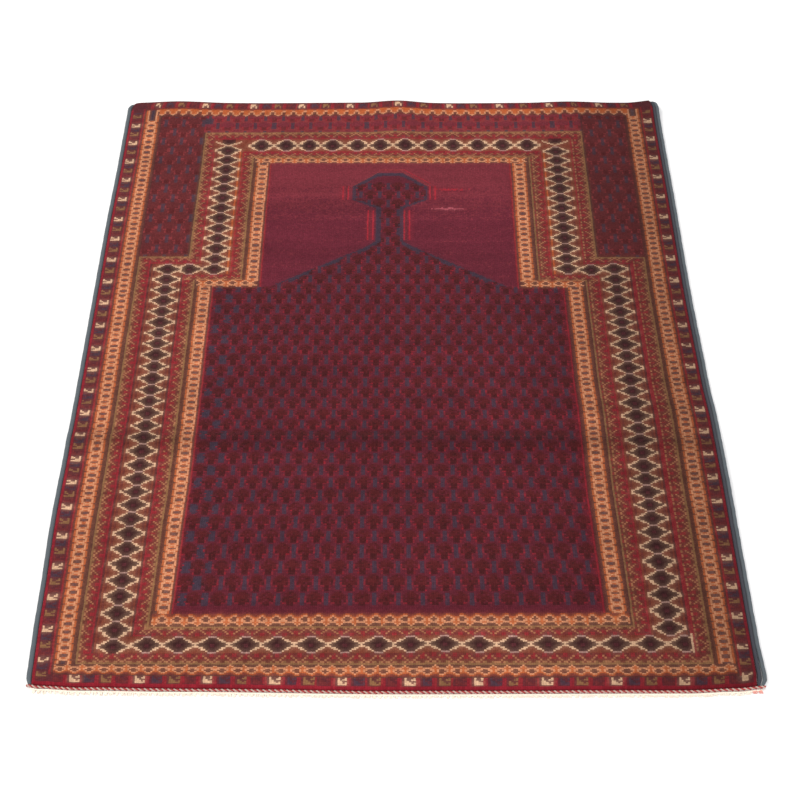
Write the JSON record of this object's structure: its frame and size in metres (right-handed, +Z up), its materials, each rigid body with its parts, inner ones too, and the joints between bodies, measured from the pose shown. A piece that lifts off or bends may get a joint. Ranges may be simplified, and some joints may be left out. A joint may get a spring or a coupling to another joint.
{
  "type": "knotted wool prayer rug",
  "caption": "Small hand-knotted wool prayer rug with a stepped arch, an all-over small tree field and banded borders, lying flat with side cords and a short end fringe.",
  "frame": {"origin": "under the middle of the rug's outline, on the floor that it lies on", "axes": "+X to the rug's right, +Y along its length from the fringed end to the plain end, +Z up out of the pile"},
  "size_m": [0.9198, 1.237, 0.0135],
  "materials": {
    "wool_pile": "short cut wool pile, matt with a slight sheen, deep red, navy, rust and ivory",
    "selvedge_hair": "overcast dark goat hair, matt, blue-grey",
    "twined_wool": "two-ply twined wool, matt, red and pale pink",
    "warp_wool": "undyed warp wool, matt, cream"
  },
  "bodies": {
    "root": {"pile_body": "wool_pile", "selvedge_left": "selvedge_hair", "selvedge_right": "selvedge_hair", "twined_cord": "twined_wool", "warp_fringe": "warp_wool"}
  },
  "joints": []
}
